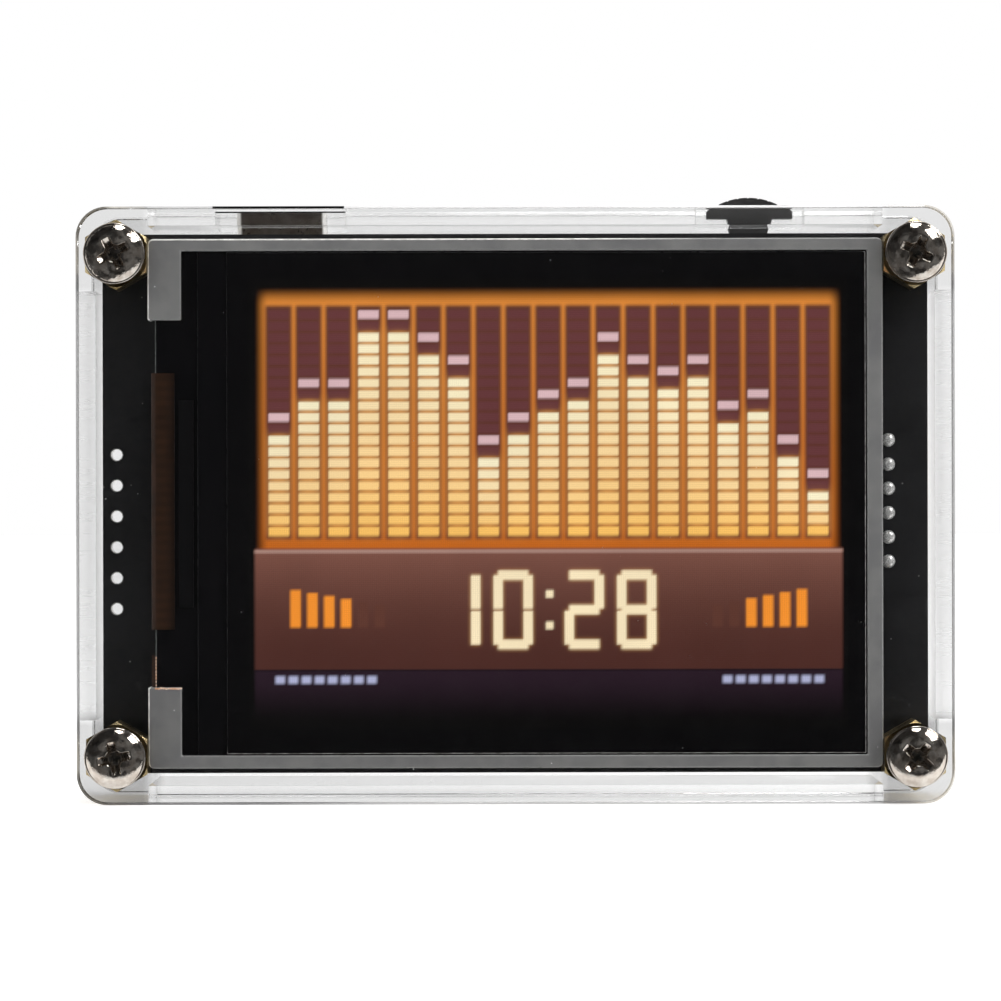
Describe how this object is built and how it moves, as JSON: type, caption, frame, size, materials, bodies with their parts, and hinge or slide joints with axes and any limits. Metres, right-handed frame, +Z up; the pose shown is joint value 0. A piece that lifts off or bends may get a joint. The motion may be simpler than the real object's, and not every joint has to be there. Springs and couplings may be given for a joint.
{
  "type": "spectrum display clock",
  "caption": "Small desk clock with a colour display that also shows a sound spectrum, on a black board between clear screwed plates, with a USB inlet and a lever switch on top.",
  "frame": {"origin": "middle of the footprint, on the surface that the clock stands on", "axes": "+X to the right seen from the front, -Y out of the display towards the viewer, +Z up"},
  "size_m": [0.0716, 0.021, 0.0498],
  "materials": {
    "clear_acrylic": "polished clear sheet",
    "bright_nickel": "bright plated, lightly handled",
    "brass": "turned, slightly dull",
    "board_black": "matt black solder mask on glass fibre",
    "tin": "tinned, satin",
    "solder": "bright solder",
    "connector_cream": "moulded nylon",
    "bezel_steel": "thin bent sheet, satin",
    "display_glass": "smooth",
    "display_film": "dark film, slight haze",
    "flex_amber": "amber film over copper",
    "backlight_white": "moulded white",
    "light_guide": "clear moulding",
    "diffuser": "white film, lit from behind",
    "foam": "foam tape",
    "led_phosphor": "resin",
    "shell_steel": "dull plated sheet",
    "black_plastic": "moulded, fine grain",
    "lever_plastic": "moulded, fine grain",
    "chip_epoxy": "moulded epoxy",
    "spring_steel": "bright spring steel",
    "cell_steel": "satin",
    "can_aluminium": "bright drawn can",
    "felt": "thin felt",
    "ceramic_tan": "fired",
    "resistor_black": "glazed top"
  },
  "bodies": {
    "case": {"front_plate": "clear_acrylic", "back_plate": "clear_acrylic", "top_wall": "clear_acrylic", "bottom_wall": "clear_acrylic", "left_wall": "clear_acrylic", "right_wall": "clear_acrylic", "front_screws": "bright_nickel", "rear_screws": "bright_nickel", "front_standoffs": "brass", "rear_standoffs": "brass", "circuit_board": "board_black", "header_hole_liners": "tin", "connector_body": "connector_cream", "connector_pins": "tin", "connector_joints": "solder", "display_bezel": "bezel_steel", "display_rear_glass": "display_glass", "display_front_glass": "display_glass", "display_polarizer": "display_film", "display_driver_chip": "chip_epoxy", "display_flex": "flex_amber", "display_flex_joints": "solder", "backlight_frame": "backlight_white", "diffuser_film": "diffuser", "light_guide": "light_guide", "reflector_film": "backlight_white", "backlight_leds": "led_phosphor", "foam_tape": "foam", "usb_shell": "shell_steel", "usb_tongue": "black_plastic", "usb_contacts": "tin", "switch_base": "black_plastic", "switch_cover": "spring_steel", "snap_dome": "spring_steel", "switch_terminals": "tin", "microcontroller": "chip_epoxy", "microcontroller_legs": "tin", "memory_chip": "chip_epoxy", "memory_chip_legs": "tin", "clock_chip": "chip_epoxy", "clock_chip_legs": "tin", "voltage_regulator": "chip_epoxy", "regulator_legs": "tin", "main_crystal": "cell_steel", "crystal_base": "black_plastic", "clock_crystal": "cell_steel", "coin_cell": "cell_steel", "coin_cell_clip": "spring_steel", "microphone": "can_aluminium", "microphone_felt": "felt", "capacitor_cans": "can_aluminium", "capacitor_bases": "black_plastic", "ceramic_capacitors": "ceramic_tan", "resistors": "resistor_black", "chip_terminals": "tin"},
    "push_carrier": {"switch_carrier": "black_plastic", "lever_pin": "spring_steel", "centring_spring": "spring_steel"},
    "lever": {"lever": "lever_plastic"}
  },
  "joints": [
    {"name": "push", "type": "slide", "parent": "case", "child": "push_carrier", "axis": [0, 0, -1], "range_m": [0, 0.0004], "stiffness_N_per_m": 2000},
    {"name": "rock", "type": "hinge", "parent": "push_carrier", "child": "lever", "pos_m": [0.0194, 0.0005, 0.0443], "axis": [0, 1, 0], "range_deg": [-10, 10], "stiffness_Nm_per_rad": 0.012}
  ]
}
